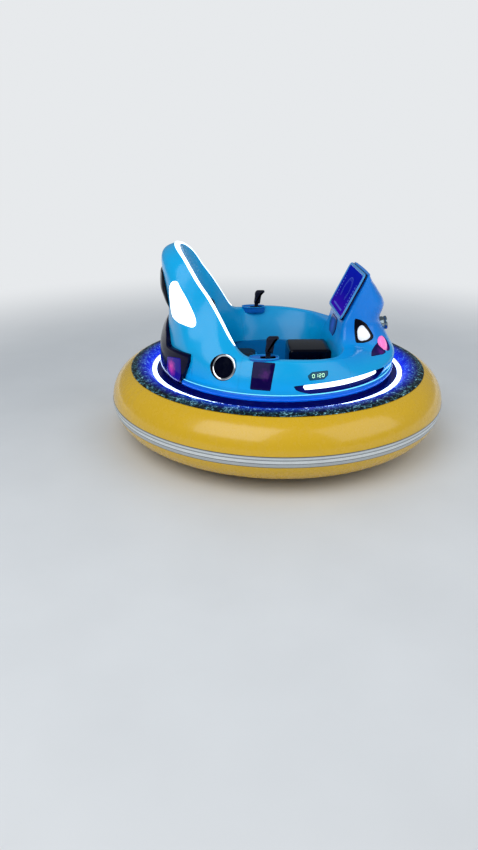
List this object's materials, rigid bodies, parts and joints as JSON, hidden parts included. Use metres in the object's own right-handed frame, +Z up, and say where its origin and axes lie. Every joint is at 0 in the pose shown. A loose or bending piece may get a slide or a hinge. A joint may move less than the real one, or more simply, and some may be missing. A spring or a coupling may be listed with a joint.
{
  "type": "inflatable-ring bumper car",
  "caption": "Round fairground bumper car: inflated ring, moulded body with high seat back, lit trim, screen and two steering levers.",
  "frame": {"origin": "on the floor under the centre of the inflated ring", "axes": "+X forward, +Y to the left, +Z up"},
  "size_m": [1.8024, 1.8022, 1.0155],
  "materials": {
    "ring_vinyl": "semi-gloss inflated vinyl",
    "stripe_film": "silver film",
    "deck_fabric": "crinkled coated fabric",
    "led_light": "lit white diffuser",
    "plinth_plastic": "dark blue gloss",
    "body_gelcoat": "bright blue gelcoat",
    "gloss_black": "gloss black",
    "lamp_violet": "violet lens",
    "chrome_trim": "polished",
    "pod_plastic": "moulded",
    "lamp_white": "lit lens in black frame",
    "lamp_pink": "pink lens",
    "frame_plastic": "light blue",
    "screen_glass": "dark blue display",
    "liner_gelcoat": "blue gelcoat",
    "battery_case": "case",
    "seat_vinyl": "black vinyl",
    "frame_steel": "black powder coat",
    "motor_paint": "satin",
    "lever_rubber": "moulded grip",
    "wheel_rim": "cast",
    "wheel_tyre": "solid tyre",
    "zinc_steel": "zinc plated",
    "caster_tyre": "solid tyre"
  },
  "bodies": {
    "body": {"ring_tube": "ring_vinyl", "ring_stripe": "stripe_film", "deck_cover": "deck_fabric", "led_ring": "led_light", "plinth": "plinth_plastic", "body_belt": "body_gelcoat", "seat_shell": "body_gelcoat", "sill_left": "body_gelcoat", "sill_right": "body_gelcoat", "nose_shell": "body_gelcoat", "arch_light": "led_light", "side_lamps": "led_light", "rear_cover": "gloss_black", "tail_lamps": "lamp_violet", "speakers": "chrome_trim", "side_panels": "gloss_black", "pods": "pod_plastic", "light_bars": "led_light", "number_displays": "gloss_black", "headlamps": "lamp_white", "fog_lamps": "lamp_pink", "mouth_grilles": "gloss_black", "nose_lamp": "chrome_trim", "screen_frame": "frame_plastic", "screen_glass": "screen_glass", "console_panel": "lamp_violet", "knee_box": "gloss_black", "cockpit_tub": "liner_gelcoat", "seat_box": "liner_gelcoat", "battery": "battery_case", "seat_cushion": "seat_vinyl", "back_cushion": "seat_vinyl", "chassis_hoop": "frame_steel", "chassis_rails": "frame_steel", "cross_members": "frame_steel", "drive_motors": "motor_paint"},
    "lever_left": {"lever_left": "lever_rubber"},
    "lever_right": {"lever_right": "lever_rubber"},
    "drive_wheel_left": {"drive_rim_left": "wheel_rim", "drive_tyre_left": "wheel_tyre"},
    "drive_wheel_right": {"drive_rim_right": "wheel_rim", "drive_tyre_right": "wheel_tyre"},
    "front_fork": {"front_fork": "zinc_steel"},
    "front_caster": {"front_caster_wheel": "caster_tyre"},
    "rear_fork": {"rear_fork": "zinc_steel"},
    "rear_caster": {"rear_caster_wheel": "caster_tyre"}
  },
  "joints": [
    {"name": "left_lever_tilt", "type": "hinge", "parent": "body", "child": "lever_left", "pos_m": [-0.084, 0.5, 0.549], "axis": [0, 1, 0], "range_deg": [-20, 20], "stiffness_Nm_per_rad": 4},
    {"name": "left_drive_spin", "type": "hinge", "parent": "body", "child": "drive_wheel_left", "pos_m": [-0.02, 0.45, 0.1], "axis": [0, 1, 0], "continuous": true},
    {"name": "right_lever_tilt", "type": "hinge", "parent": "body", "child": "lever_right", "pos_m": [-0.084, -0.5, 0.549], "axis": [0, 1, 0], "range_deg": [-20, 20], "stiffness_Nm_per_rad": 4},
    {"name": "right_drive_spin", "type": "hinge", "parent": "body", "child": "drive_wheel_right", "pos_m": [-0.02, -0.45, 0.1], "axis": [0, 1, 0], "continuous": true},
    {"name": "front_fork_swivel", "type": "hinge", "parent": "body", "child": "front_fork", "pos_m": [0.4, 0, 0.11], "axis": [0, 0, 1], "continuous": true},
    {"name": "front_caster_roll", "type": "hinge", "parent": "front_fork", "child": "front_caster", "pos_m": [0.368, 0, 0.046], "axis": [0, 1, 0], "continuous": true},
    {"name": "rear_fork_swivel", "type": "hinge", "parent": "body", "child": "rear_fork", "pos_m": [-0.4, 0, 0.11], "axis": [0, 0, 1], "continuous": true},
    {"name": "rear_caster_roll", "type": "hinge", "parent": "rear_fork", "child": "rear_caster", "pos_m": [-0.432, 0, 0.046], "axis": [0, 1, 0], "continuous": true}
  ]
}
